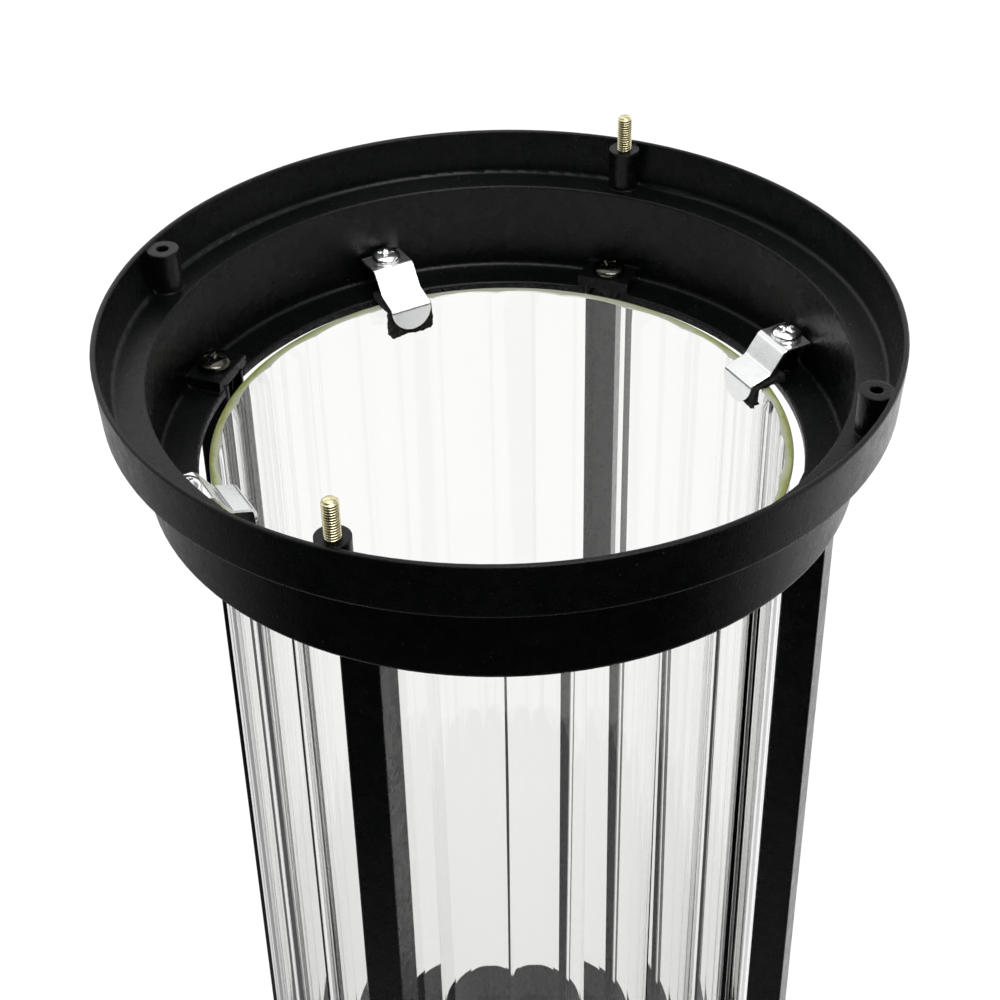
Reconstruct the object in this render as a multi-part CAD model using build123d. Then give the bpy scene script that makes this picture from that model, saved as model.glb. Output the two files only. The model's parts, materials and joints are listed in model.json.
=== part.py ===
from build123d import *

import os
from math import cos, hypot, pi, sin, sqrt

# Round outdoor wall light, open at the top: a cast top ring and a cast base, four channel posts
# around a fluted glass cylinder, spring clips that hold the glass, a lampholder, and an arm that
# carries the lantern from a round wall plate. Millimetres. The origin is the middle of the wall
# fixing, X runs along the wall, Y away from it and Z up.

# Lantern
reach = 160.0  # wall to lantern axis
ring_r = 100.0  # at the rim; the other radii of the lantern follow from it
glass_length = 314.6
glass_inset = 25.1  # rim to glass
glass_outer_r = ring_r - glass_inset
glass_wall = 3.0  # at the ridges between two flutes
glass_inner_r = glass_outer_r - glass_wall
flute_count = 24
flute_depth = 0.7
flute_angle = 9.0  # first ridge, from X
glass_edge_round = 0.6
post_angle = 45.0  # first post and first roof boss, from X
corner_count = 4  # posts, roof bosses and clips

# Top ring
rim_thickness = 1.4
band_height = 14.7
band_draft = 0.9
mid_ledge_depth = 12.0
ledge_root_inset = 3.6
mid_ledge_outer_r = ring_r - ledge_root_inset
wall_inset = 12.0
inner_wall_r = ring_r - wall_inset
collar_wall = 2.3
ring_height = 39.8
ledge_thickness = 2.4
glass_gap = 2.8
ring_hole_r = glass_outer_r + glass_gap
glass_rise = 2.4  # bottom of the ring up to the top of the glass
glass_top_depth = ring_height - glass_rise
edge_round = 0.5
root_round = 1.2
boss_r = 4.2
boss_inset = 5.3
boss_circle_r = ring_r - boss_inset
boss_drop = 0.6  # rim down to the top of the roof bosses
roof_hole_r = 1.65
roof_hole_depth = 12.5
stud_r = 2.0
stud_root_r = 1.8  # end of a stud inside its boss
stud_standing = 9.8

# Posts
post_width = 10.0
post_inset = 0.6  # outer face of a post, inside the ring's inner wall
post_outer_r = inner_wall_r - post_inset
post_corner_round = 0.6
channel_width = 7.2
channel_depth = 3.0
post_fit = 0.2  # around a post in its pocket
pad_height = 3.4
pad_width = 15.0
pad_corner_round = 2.5
pad_roof = 3.0  # metal over the top end of a post
post_screw_head_r = 4.6
post_screw_head_height = 2.4
post_screw_r = 2.0
post_screw_length = 14.0
pocket_overrun = 5.7  # how far the room cut for a post runs past the ring's opening
post_screw_inset = 4.2
post_screw_circle_r = post_outer_r - post_screw_inset
screw_hole_fit = 0.05
screw_end_room = 1.5

# Screw heads and nuts
crown_share = 0.55  # of a head's height
drive_length_share = 1.15  # of a head's radius
drive_width = 1.1
drive_depth = 1.2
nut_bevel_share = 0.9  # of the room between a nut's flats and its corners
overcut = 1.0  # how far cutting shapes run past a face

# Glass clips
clip_count = 4
clip_thickness = 0.8
clip_width = 12.2
clip_pivot_inset = 4.9
clip_pivot_r = inner_wall_r - clip_pivot_inset
clip_yaw = 6.0  # each clip sits turned a little about its screw
clip_end_gap = 1.0
clip_tab_outer_r = inner_wall_r - clip_end_gap
clip_bend_setback = 0.8  # first bend, out from the ring's opening
clip_tab_inner_r = ring_hole_r + clip_bend_setback
clip_rise = 10.0  # bottom of the ring up to the upper side of the tab
clip_tab_depth = ring_height - clip_rise
clip_corner_round = 1.0
knee_setback = 0.6  # in from the outside of the glass
knee_r = glass_outer_r - knee_setback
knee_rise = 2.6  # above the top of the glass
knee_depth = glass_top_depth - knee_rise
fold_setback = 6.9
fold_r = glass_outer_r - fold_setback
fold_rise = 1.0
fold_depth = glass_top_depth - fold_rise
tip_setback = 7.9
tip_r = glass_outer_r - tip_setback
tip_drop = 5.3
tip_depth = glass_top_depth + tip_drop
bend_round = 1.0
clip_boss_r = 3.6
clip_screw_head_r = 4.05
clip_screw_head_height = 2.2
clip_screw_length = 8.0
running_gap = 0.05

# Felt pads, cut as one strip that lies over the glass edge and hangs down inside it
felt_width = 12.8
felt_gap = 0.3
felt_overlap = 0.6  # onto the ledge
felt_outer_r = ring_hole_r + felt_overlap
felt_step = 1.4
felt_step_r = ring_hole_r - felt_step
felt_thickness = 1.7
felt_inner_r = glass_inner_r - felt_thickness
felt_hang = 7.8
felt_end_height = 2.2  # thickness of the end that lies on the ledge

# Base
base_rim_inset = 9.0
base_rim_r = ring_r - base_rim_inset
base_rim_height = 6.0
base_glass_fit = 1.1
base_rim_inner_r = glass_outer_r + base_glass_fit
base_rim_skirt = 10.0
base_foot_inset = 5.0
base_foot_r = base_rim_r - base_foot_inset
base_foot_drop = 14.0
bell_end_r = 25.0
bell_drop = 37.0
bell_sag = 4.0
base_wall = 3.2
base_solid_width = 14.0  # under the glass and the posts
base_solid_inner_r = base_foot_r - base_solid_width
post_socket_depth = 5.0
hub_r = 17.0
hub_drop = 53.0
hub_floor = 6.0
base_screw_seat = 4.0  # seat level of the glass down to the heads of the lower post screws
gasket_thickness = 1.5
gasket_width = 5.0
tray_inset = 7.5
tray_r = base_rim_inner_r - tray_inset
tray_thickness = 1.5
tray_fit = 0.4
tray_drop = 1.0
tray_boss_r = 4.0
tray_boss_inset = 8.5
tray_boss_circle_r = tray_r - tray_boss_inset
tray_screw_count = 3
tray_screw_r = 1.5
tray_screw_head_r = 2.9
tray_screw_head_height = 1.7
tray_screw_length = 8.0

# Lampholder
holder_r = 20.0
holder_height = 57.0
holder_bore_r = 14.4
holder_floor = 19.0
holder_step = 2.0  # the lower part of the holder is this much smaller
liner_wall = 0.9
liner_length = 26.0
liner_drop = 4.0
contact_r = 4.0
contact_height = 3.0
contact_foot_r = 7.0
nipple_r = 5.0
nipple_bore_r = 3.4
nipple_length = 20.0
nipple_in_holder = 12.0
nut_flat_small = 14.0
nut_height_small = 3.0

# Arm
arm_r = 11.0
arm_wire_r = 5.5
arm_bend_r = 55.0
arm_rise = 42.0  # end of the bend up to the bottom of the base hub
arm_neck_r = 8.0
arm_neck_stand = 6.5  # neck past the floor it goes through
nut_flat_large = 21.0
nut_height_large = 4.0

# Wall plate and its fixing
plate_r = 60.0
plate_rim = 5.0
plate_shoulder_inset = 9.0
plate_shoulder_r = plate_r - plate_shoulder_inset
plate_depth = 15.0
plate_wall = 3.0
plate_hub_r = 17.0
plate_hub_length = 22.0
plate_hub_floor = 6.0
plate_hub_foot = 6.0  # size of the cone where the hub meets the plate
plate_gasket_width = 4.0
strap_end_room = 5.0
crossbar_length = 2 * (plate_r - plate_gasket_width - strap_end_room)
crossbar_height = 18.0
crossbar_thickness = 2.0
plate_stud_inset = 9.0
plate_stud_spacing = crossbar_length - 2 * plate_stud_inset
plate_stud_r = 2.0
plate_stud_length = 21.0
plate_stud_room = 0.2  # around a stud in the wall plate
wall_hole_spacing = 60.0
wall_hole_r = 2.6
cap_nut_flat = 7.0
cap_nut_height = 3.2
cap_dome_inset = 0.3
terminal_x = -19.0
terminal_size = (11.0, 9.0, 17.0)
terminal_ways = 3
terminal_wire_r = 1.2
terminal_screw_r = 1.5
terminal_wire_share = 0.4  # of the block's depth, from the strap
terminal_screw_share = 0.7
earth_x = 18.0
earth_head_r = 3.6
earth_head_height = 2.2
earth_screw_r = 2.0

# Heights above the middle of the wall fixing
hub_z = arm_bend_r + arm_rise
seat_z = hub_z + hub_drop
glass_z = seat_z + gasket_thickness
rim_z = glass_z + glass_length + glass_top_depth
ledge_z = rim_z - ring_height + ledge_thickness
pad_z = ledge_z + pad_height
post_top_z = pad_z - pad_roof
post_foot_z = seat_z + base_rim_height - post_socket_depth
tab_z = rim_z - clip_tab_depth

UP = (Align.CENTER, Align.CENTER, Align.MIN)
DOWN = (Align.CENTER, Align.CENTER, Align.MAX)


def turned(points, radii):
    """Solid turned about Z from an outline of (radius, height) points with rounded corners."""
    outline = FilletPolyline(*points, radius=radii, close=True)
    return revolve(Plane.XZ * make_face(outline.edges()), Axis.Z)


def around(shape, count, first=0.0):
    """Copies of a shape, evenly spaced about the lantern axis."""
    return [Rot(0, 0, first + 360 * i / count) * shape for i in range(count)]


def rod(radius, height, x=0.0, y=0.0, z=0.0):
    """Upright cylinder that starts at height z."""
    return Pos(x, y, z) * Cylinder(radius, height, align=UP)


def group(shapes):
    """One named piece made of separate solids."""
    return Compound([solid for shape in shapes for solid in shape.solids()])


def pan_screw(head_r, head_height, shank_r, length):
    """Cross-drive screw with its head on z = 0 and its shank below."""
    crown = head_height * crown_share
    dome_r = (head_r ** 2 + crown ** 2) / (2 * crown)
    head = Cylinder(head_r, head_height, align=UP) & Pos(0, 0, head_height - dome_r) * Sphere(dome_r)
    for angle in (0, 90):
        slot = Box(head_r * drive_length_share, drive_width, drive_depth, align=DOWN)
        head -= Pos(0, 0, head_height) * Rot(0, 0, angle) * slot
    return head + Pos(0, 0, -length) * Cylinder(shank_r, length, align=UP)


def hex_nut(flat, height, hole_r):
    """Hexagon nut on z = 0 with rounded top corners."""
    body = extrude(RegularPolygon(flat / 2, 6, major_radius=False), height)
    corner = flat / sqrt(3)
    bevel = (corner - flat / 2) * nut_bevel_share
    outline = [(0, 0), (corner, 0), (corner, height - bevel / 2), (corner - bevel, height),
               (0, height)]
    cap = turned(outline, [0] * len(outline))
    return (body & cap) - Cylinder(hole_r, height, align=UP)


# Top ring

def ring_shell():
    """Two-step turned shell: thin upper band, mid ledge, collar and lower ledge."""
    foot = -ring_height
    ledge = foot + ledge_thickness
    collar_r = inner_wall_r + collar_wall
    points = [
        (ring_r, 0), (ring_r - band_draft, -band_height), (collar_r, -band_height),
        (collar_r, foot), (ring_hole_r, foot), (ring_hole_r, ledge), (inner_wall_r, ledge),
        (inner_wall_r, -mid_ledge_depth), (mid_ledge_outer_r, -mid_ledge_depth),
        (ring_r - rim_thickness, 0),
    ]
    fine = edge_round / 2
    radii = [edge_round, edge_round, edge_round, root_round, fine, edge_round, root_round,
             edge_round, root_round, edge_round]
    return turned(points, radii)


def post_pad():
    """Raised pad over the top end of a post, cut back to the round opening of the ring."""
    depth = inner_wall_r + collar_wall / 2 - ring_hole_r
    corner = depth - collar_wall
    block = Pos(ring_hole_r + depth / 2, 0, 0) * Box(depth, pad_width, pad_height, align=UP)
    rounded = Pos(ring_hole_r + corner / 2, 0, 0) * extrude(
        RectangleRounded(corner * 2, pad_width, pad_corner_round), pad_height)
    return Pos(0, 0, -ring_height + ledge_thickness) * (block & rounded)


def post_pocket(height, floor_z):
    """Room for the end of a post, open to the glass."""
    outer = post_outer_r + post_fit
    depth = outer - ring_hole_r + pocket_overrun
    return Pos(outer - depth / 2, 0, floor_z) * Box(depth, post_width + 2 * post_fit, height, align=UP)


def top_ring():
    """Cast ring with its bosses, pads, pockets and holes, rim at z = 0."""
    body = ring_shell()
    roof_boss = Pos(boss_circle_r, 0, -mid_ledge_depth - edge_round) * Cylinder(
        boss_r, mid_ledge_depth + edge_round - boss_drop, align=UP)
    ledge = -ring_height + ledge_thickness
    boss_top = -clip_tab_depth - clip_thickness
    clip_boss = rod(clip_boss_r, boss_top - ledge + ledge_thickness / 2, x=clip_pivot_r,
                    z=ledge - ledge_thickness / 2)
    for boss in around(roof_boss, corner_count, post_angle):
        body += boss
    for boss in around(clip_boss, clip_count):
        body += boss
    for pad in around(post_pad(), corner_count, post_angle):
        body += pad
    pocket = post_pocket(ledge_thickness + pad_height - pad_roof, -ring_height)
    pad_hole = rod(post_screw_r + screw_hole_fit, pad_roof + 2 * overcut, x=post_screw_circle_r,
                   z=ledge + pad_height - pad_roof - overcut)
    for cut in around(pocket, corner_count, post_angle) + around(pad_hole, corner_count, post_angle):
        body -= cut
    clip_hole = rod(post_screw_r + screw_hole_fit, clip_screw_length + running_gap, x=clip_pivot_r,
                    z=boss_top + clip_thickness - clip_screw_length)
    for cut in around(clip_hole, clip_count):
        body -= cut
    for i in range(corner_count):
        hole_r = stud_root_r + screw_hole_fit if i % 2 == 0 else roof_hole_r
        hole = rod(hole_r, roof_hole_depth, x=boss_circle_r, z=-boss_drop - roof_hole_depth)
        body -= Rot(0, 0, post_angle + 90 * i) * hole
    return Pos(0, 0, rim_z) * body


def roof_studs():
    """Two threaded studs in opposite bosses, each seated on the top of its boss."""
    top = rim_z - boss_drop
    stud = rod(stud_r, stud_standing, x=boss_circle_r, z=top)
    stud += rod(stud_root_r, roof_hole_depth, x=boss_circle_r, z=top - roof_hole_depth)
    return group(around(stud, 2, post_angle))


# Posts and their screws

def post():
    """Square post with a channel towards the glass and a screw hole in each end."""
    length = post_top_z - post_foot_z
    section = RectangleRounded(post_width, post_width, post_corner_round)
    channel_x = -post_width / 2 + channel_depth / 2
    section -= Pos(channel_x, 0) * Rectangle(channel_depth, channel_width)
    body = Pos(post_outer_r - post_width / 2, 0, post_foot_z) * extrude(section, length)
    hole_depth = post_screw_length + screw_end_room
    hole_r = post_screw_r + screw_hole_fit
    body -= rod(hole_r, hole_depth, x=post_screw_circle_r, z=post_top_z - hole_depth)
    return body - rod(hole_r, hole_depth, x=post_screw_circle_r, z=post_foot_z)


def post_top_screws():
    """Four black pan-head screws on the pads of the top ring."""
    screw = pan_screw(post_screw_head_r, post_screw_head_height, post_screw_r, post_screw_length)
    return group(around(Pos(post_screw_circle_r, 0, pad_z) * screw, corner_count, post_angle))


def post_bottom_screws():
    """Four screws that come up through the base into the posts."""
    screw = Rot(180, 0, 0) * pan_screw(
        post_screw_head_r, post_screw_head_height, post_screw_r, post_screw_length)
    placed = Pos(post_screw_circle_r, 0, seat_z - base_screw_seat) * screw
    return group(around(placed, corner_count, post_angle))


# Glass

def glass_cylinder():
    """Cylinder, smooth outside, with concave flutes inside that meet in sharp ridges."""
    step = 2 * pi / flute_count
    ridge_r = glass_inner_r
    edges = []
    for i in range(flute_count):
        start = (ridge_r * cos(i * step), ridge_r * sin(i * step))
        end = (ridge_r * cos((i + 1) * step), ridge_r * sin((i + 1) * step))
        middle_r = ridge_r + flute_depth
        middle = (middle_r * cos((i + 0.5) * step), middle_r * sin((i + 0.5) * step))
        edges += ThreePointArc(start, middle, end).edges()
    section = Circle(glass_outer_r) - Rot(0, 0, flute_angle) * make_face(edges)
    body = extrude(section, glass_length)
    rims = [edge for edge in body.edges().filter_by(GeomType.CIRCLE) if edge.is_closed]
    return Pos(0, 0, glass_z) * fillet(rims, glass_edge_round)


def glass_gasket():
    """Flat soft ring between the base and the glass."""
    outer = glass_outer_r + (base_rim_inner_r - glass_outer_r) / 2
    ring = Cylinder(outer, gasket_thickness, align=UP)
    return Pos(0, 0, seat_z) * (ring - Cylinder(outer - gasket_width, gasket_thickness, align=UP))


# Clips and felt

def offset_line(points, distance):
    """Points of a line moved sideways by a distance, to the left of its direction."""
    moved = []
    for i, (x, y) in enumerate(points):
        normals = []
        for a, b in ((i - 1, i), (i, i + 1)):
            if 0 <= a and b < len(points):
                dx, dy = points[b][0] - points[a][0], points[b][1] - points[a][1]
                normals.append((-dy / hypot(dx, dy), dx / hypot(dx, dy)))
        nx = sum(n[0] for n in normals) / len(normals)
        ny = sum(n[1] for n in normals) / len(normals)
        scale = distance / (nx * nx + ny * ny)
        moved.append((x + nx * scale, y + ny * scale))
    return moved


def clip_line():
    """Upper side of a clip from the tab to the tip, as (radius, height) points."""
    return [
        (clip_tab_outer_r, -clip_tab_depth), (clip_tab_inner_r, -clip_tab_depth),
        (knee_r, -knee_depth), (fold_r, -fold_depth), (tip_r, -tip_depth),
    ]


def turn_clip(shape, index):
    """Take a piece of a clip from its place on the X axis to its own place and yaw."""
    swivel = Pos(clip_pivot_r, 0, 0) * Rot(0, 0, clip_yaw) * Pos(-clip_pivot_r, 0, 0)
    return Rot(0, 0, 360 * index / clip_count) * Pos(0, 0, rim_z) * swivel * shape


def clip(index):
    """Bent sheet clip: flat tab, steep leg, flatter leg and a rounded tip inside the glass."""
    upper = clip_line()
    lower = offset_line(upper, clip_thickness)
    outline = upper + lower[::-1]
    inner, outer = bend_round, bend_round + clip_thickness
    radii = [0, outer, inner, outer, 0, 0, inner, outer, inner, 0]
    face = make_face(FilletPolyline(*outline, radius=radii, close=True).edges())
    body = extrude(Plane.XZ * face, clip_width / 2, both=True)
    above = Pos(0, 0, -fold_depth) * Box(4 * ring_r, clip_width, 4 * clip_tab_depth, align=UP)
    tip_disc = Plane.YZ.offset(fold_r) * Circle(clip_width / 2)
    tip_round = Pos(0, 0, -fold_depth) * extrude(tip_disc, fold_r / 4, both=True)
    body &= above + tip_round
    tab_corners = body.edges().filter_by(Axis.Z).group_by(Axis.X)[-1]
    body = fillet(tab_corners, clip_corner_round)
    body -= rod(post_screw_r + running_gap, 3 * clip_thickness, x=clip_pivot_r,
                z=-clip_tab_depth - 2 * clip_thickness)
    return turn_clip(body, index)


def clip_pad(index):
    """Felt strip over the glass edge, pressed down by the clip, its end hanging inside."""
    over_glass = -glass_top_depth + felt_gap
    over_ledge = -ring_height + ledge_thickness + felt_gap
    foot = over_glass - felt_hang
    knee, fold, tip = offset_line(clip_line(), clip_thickness + running_gap)[2:]
    points = [
        (felt_outer_r, over_ledge), (felt_step_r, over_ledge),
        (glass_outer_r + felt_gap * 2, over_glass), (felt_inner_r, over_glass),
        (felt_inner_r, foot), (tip[0], foot), tip, fold, knee,
        (felt_outer_r, over_ledge + felt_end_height),
    ]
    radii = [0, 0, 0, 0, edge_round, edge_round, 0, bend_round - running_gap,
             bend_round + clip_thickness, edge_round]
    face = make_face(FilletPolyline(*points, radius=radii, close=True).edges())
    body = extrude(Plane.XZ * face, felt_width / 2, both=True)
    return turn_clip(body, index)


def clip_screws():
    """Four zinc pan-head screws, each the pivot of its clip."""
    screw = pan_screw(clip_screw_head_r, clip_screw_head_height, post_screw_r, clip_screw_length)
    placed = Pos(clip_pivot_r, 0, tab_z + running_gap) * screw
    return group(around(placed, clip_count))


# Base

def base_shell():
    """Turned base, seat level at z = 0: rim, bell and hub, hollow under the tray."""
    bell_start = (base_foot_r, -base_foot_drop)
    bell_end = (bell_end_r, -bell_drop)
    middle = ((base_foot_r + bell_end_r) / 2, -(base_foot_drop + bell_drop) / 2 - bell_sag)
    hub_top = (hub_r, -bell_drop - base_wall)
    rim = FilletPolyline(
        (tray_r + tray_fit, 0), (base_rim_inner_r, 0), (base_rim_inner_r, base_rim_height),
        (base_rim_r, base_rim_height), (base_rim_r, -base_rim_skirt), bell_start,
        radius=[edge_round, edge_round, root_round, root_round])
    bell = ThreePointArc(bell_start, middle, bell_end)
    hub = Polyline(bell_end, hub_top, (hub_r, -hub_drop), (0, -hub_drop), (0, -bell_drop))
    cavity_floor = Line((0, -bell_drop), (bell_end_r, -bell_drop + base_wall))
    cavity_middle = (middle[0], middle[1] + base_wall)
    cavity_end = (base_solid_inner_r - base_wall, -base_foot_drop + base_wall / 2)
    cavity = ThreePointArc((bell_end_r, -bell_drop + base_wall), cavity_middle, cavity_end)
    tray_seat = -tray_drop - tray_thickness
    seat = Polyline(cavity_end, (cavity_end[0] - base_wall, tray_seat),
                    (tray_r + tray_fit, tray_seat), (tray_r + tray_fit, 0))
    parts = [rim, bell, hub, cavity_floor, cavity, seat]
    face = make_face([edge for part in parts for edge in part.edges()])
    return revolve(Plane.XZ * face, Axis.Z)


def base_dish():
    """Cast base: pockets and screw holes for the posts, tray bosses and a hub for the arm."""
    body = base_shell()
    tray_seat = -tray_drop - tray_thickness
    boss = rod(tray_boss_r, bell_drop + tray_seat - base_wall, x=tray_boss_circle_r,
               z=-bell_drop + base_wall)
    inside = Pos(0, 0, -bell_drop) * Cylinder(base_solid_inner_r, bell_drop, align=UP)
    outer_limit = base_shell_limit()
    for item in around(boss & inside & outer_limit, tray_screw_count, post_angle):
        body += item
    pocket = Pos(post_outer_r - post_width / 2, 0, post_foot_z - seat_z) * Box(
        post_width + 2 * post_fit, post_width + 2 * post_fit, post_socket_depth + overcut, align=UP)
    shank = rod(post_screw_r + screw_hole_fit, base_screw_seat * 3, x=post_screw_circle_r,
                z=-base_screw_seat * 2)
    head_room = rod(post_screw_head_r + post_fit, bell_drop, x=post_screw_circle_r,
                    z=-base_screw_seat - bell_drop)
    for cut in (pocket, shank, head_room):
        for item in around(cut, corner_count, post_angle):
            body -= item
    tray_hole = rod(tray_screw_r + screw_hole_fit, tray_screw_length, x=tray_boss_circle_r,
                    z=tray_seat + tray_thickness - tray_screw_length)
    for item in around(tray_hole, tray_screw_count, post_angle):
        body -= item
    socket = -bell_drop - hub_floor + base_wall
    body -= rod(arm_r + running_gap, hub_drop + socket, z=-hub_drop)
    body -= rod(arm_neck_r + screw_hole_fit, hub_drop, z=-hub_drop)
    return Pos(0, 0, seat_z) * body


def base_shell_limit():
    """Everything inside the outer face of the bell, to trim the tray bosses."""
    middle = ((base_foot_r + bell_end_r) / 2, -(base_foot_drop + bell_drop) / 2 - bell_sag / 2)
    outline = [
        *ThreePointArc((base_foot_r, -base_foot_drop), middle, (bell_end_r, -bell_drop)).edges(),
        *Polyline((bell_end_r, -bell_drop), (0, -bell_drop), (0, 0), (base_foot_r, 0),
                  (base_foot_r, -base_foot_drop)).edges(),
    ]
    return revolve(Plane.XZ * make_face(outline), Axis.Z)


def lamp_tray():
    """Sheet disc that closes the wiring room and carries the lampholder."""
    disc = Cylinder(tray_r, tray_thickness, align=UP)
    disc -= Cylinder(nipple_r + screw_hole_fit, tray_thickness, align=UP)
    for hole in around(rod(tray_screw_r + screw_hole_fit, tray_thickness, x=tray_boss_circle_r),
                       tray_screw_count, post_angle):
        disc -= hole
    return Pos(0, 0, seat_z - tray_drop - tray_thickness) * disc


def tray_screws():
    """Three small screws that hold the tray down."""
    screw = pan_screw(tray_screw_head_r, tray_screw_head_height, tray_screw_r, tray_screw_length)
    placed = Pos(tray_boss_circle_r, 0, seat_z - tray_drop) * screw
    return group(around(placed, tray_screw_count, post_angle))


# Lampholder

def lampholder_shell():
    """Moulded body with a waist, open at the top for the lamp."""
    bore = nipple_r + screw_hole_fit
    waist_r = holder_r - holder_step
    outline = [
        (bore, 0), (waist_r, 0), (waist_r, holder_floor), (holder_r, holder_floor + holder_step),
        (holder_r, holder_height), (holder_bore_r, holder_height), (holder_bore_r, holder_floor),
        (bore, holder_floor),
    ]
    radii = [0, edge_round, root_round, root_round, root_round, edge_round, 0, 0]
    return Pos(0, 0, seat_z - tray_drop) * turned(outline, radii)


def lampholder_thread():
    """Brass sleeve that takes the lamp's cap."""
    top = holder_height - liner_drop
    outer = holder_bore_r - screw_hole_fit
    sleeve = rod(outer, liner_length) - rod(outer - liner_wall, liner_length)
    return Pos(0, 0, seat_z - tray_drop + top - liner_length) * sleeve


def lampholder_contact():
    """Centre contact on the floor of the holder."""
    foot = rod(contact_foot_r, contact_height / 2)
    button = rod(contact_r, contact_height)
    return Pos(0, 0, seat_z - tray_drop + holder_floor) * (foot + button)


def lampholder_nipple():
    """Hollow threaded tube through the tray into the holder."""
    tube = rod(nipple_r, nipple_length) - rod(nipple_bore_r, nipple_length)
    return Pos(0, 0, seat_z - tray_drop + nipple_in_holder - nipple_length) * tube


def nipple_nut():
    """Hexagon nut under the tray."""
    nut = hex_nut(nut_flat_small, nut_height_small, nipple_r + screw_hole_fit)
    return Pos(0, 0, seat_z - tray_drop - tray_thickness - nut_height_small) * nut


# Arm

plate_socket_y = plate_depth - plate_wall + plate_hub_floor
hub_socket_z = seat_z - bell_drop - hub_floor + base_wall


def arm_tube():
    """Round arm with one bend, a wire way through it and a threaded neck at each end."""
    path = FilletPolyline((0, plate_socket_y, 0), (0, reach, 0), (0, reach, hub_socket_z),
                          radius=[arm_bend_r])
    wall_neck_y = plate_depth - plate_wall - arm_neck_stand
    top_neck_z = seat_z - bell_drop + base_wall + arm_neck_stand
    wires = FilletPolyline((0, wall_neck_y, 0), (0, reach, 0), (0, reach, top_neck_z),
                           radius=[arm_bend_r])
    body = sweep(Plane((0, plate_socket_y, 0), z_dir=(0, 1, 0)) * Circle(arm_r), path)
    body += Pos(0, wall_neck_y, 0) * Rot(-90, 0, 0) * rod(arm_neck_r, plate_socket_y - wall_neck_y)
    body += rod(arm_neck_r, top_neck_z - hub_socket_z, y=reach, z=hub_socket_z)
    return body - sweep(Plane((0, wall_neck_y, 0), z_dir=(0, 1, 0)) * Circle(arm_wire_r), wires)


def arm_top_nut():
    """Hexagon nut inside the base on the arm's neck."""
    nut = hex_nut(nut_flat_large, nut_height_large, arm_neck_r + screw_hole_fit)
    return Pos(0, 0, seat_z - bell_drop + base_wall) * nut


def arm_wall_nut():
    """Hexagon nut inside the wall plate on the arm's neck."""
    nut = hex_nut(nut_flat_large, nut_height_large, arm_neck_r + screw_hole_fit)
    return Pos(0, plate_depth - plate_wall - nut_height_large, 0) * Rot(-90, 0, 0) * nut


# Wall plate and fixing

def wall_plate():
    """Round dished plate with a raised middle and a hub for the arm."""
    back = gasket_thickness
    hub_top = plate_depth + plate_hub_length
    points = [
        (plate_r, back), (plate_r, back + plate_rim), (plate_shoulder_r, plate_depth),
        (plate_hub_r + plate_hub_foot, plate_depth), (plate_hub_r, plate_depth + plate_hub_foot),
        (plate_hub_r, hub_top), (0, hub_top), (0, plate_depth - plate_wall),
        (plate_shoulder_r - plate_wall / 2, plate_depth - plate_wall),
        (plate_r - plate_wall, back + plate_rim - plate_wall / 2), (plate_r - plate_wall, back),
    ]
    radii = [edge_round, root_round, root_round * 2, root_round * 2, root_round * 2, edge_round,
             0, 0, root_round, root_round, 0]
    body = turned(points, radii)
    body -= rod(arm_r + running_gap, plate_hub_length + plate_depth, z=plate_socket_y)
    body -= rod(arm_neck_r + screw_hole_fit, plate_depth + plate_hub_length)
    for side in (-1, 1):
        body -= rod(plate_stud_r + plate_stud_room, plate_depth + overcut,
                    x=side * plate_stud_spacing / 2)
    return Rot(-90, 0, 0) * body


def wall_gasket():
    """Soft flat ring behind the rim of the wall plate."""
    ring = rod(plate_r, gasket_thickness) - rod(plate_r - plate_gasket_width, gasket_thickness)
    return Rot(-90, 0, 0) * ring


def crossbar():
    """Flat strap on the wall with two screw holes and two tapped holes."""
    strap = extrude(RectangleRounded(crossbar_length, crossbar_height, root_round * 2),
                    crossbar_thickness)
    holes = [(side * wall_hole_spacing / 2, wall_hole_r) for side in (-1, 1)]
    holes += [(side * plate_stud_spacing / 2, plate_stud_r + screw_hole_fit) for side in (-1, 1)]
    holes += [(earth_x, earth_screw_r + screw_hole_fit)]
    for x, radius in holes:
        strap -= rod(radius, crossbar_thickness, x=x)
    return Rot(-90, 0, 0) * strap


def plate_studs():
    """Two studs from the strap through the wall plate."""
    studs = [rod(plate_stud_r, plate_stud_length, x=side * plate_stud_spacing / 2)
             for side in (-1, 1)]
    return Rot(-90, 0, 0) * group(studs)


def cap_nuts():
    """Two domed nuts that hold the wall plate to its studs."""
    hole_r = plate_stud_r + screw_hole_fit
    stud_end = plate_stud_length - plate_depth
    dome_r = cap_nut_flat / 2 - cap_dome_inset
    nut = hex_nut(cap_nut_flat, cap_nut_height, hole_r)
    nut += rod(dome_r, stud_end - cap_nut_height, z=cap_nut_height)
    nut += Pos(0, 0, stud_end) * (Sphere(dome_r) & rod(dome_r, dome_r))
    nut -= rod(hole_r, stud_end + running_gap)
    nuts = [Pos(side * plate_stud_spacing / 2, 0, plate_depth) * nut for side in (-1, 1)]
    return Rot(-90, 0, 0) * group(nuts)


def terminal_block():
    """Three-way terminal block on the strap."""
    wide, deep, tall = terminal_size
    block = Pos(terminal_x, crossbar_thickness + deep / 2, 0) * Box(wide, deep, tall)
    pitch = tall / terminal_ways
    for i in range(terminal_ways):
        z = (i - (terminal_ways - 1) / 2) * pitch
        wire_way = Pos(terminal_x, crossbar_thickness + deep * terminal_wire_share, z) * Rot(0, 90, 0)
        block -= wire_way * Cylinder(terminal_wire_r, wide)
        screw_way = Pos(terminal_x, crossbar_thickness + deep * terminal_screw_share, z) * Rot(90, 0, 0)
        block -= screw_way * Cylinder(terminal_screw_r, deep * (1 - terminal_wire_share))
    return block


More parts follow.
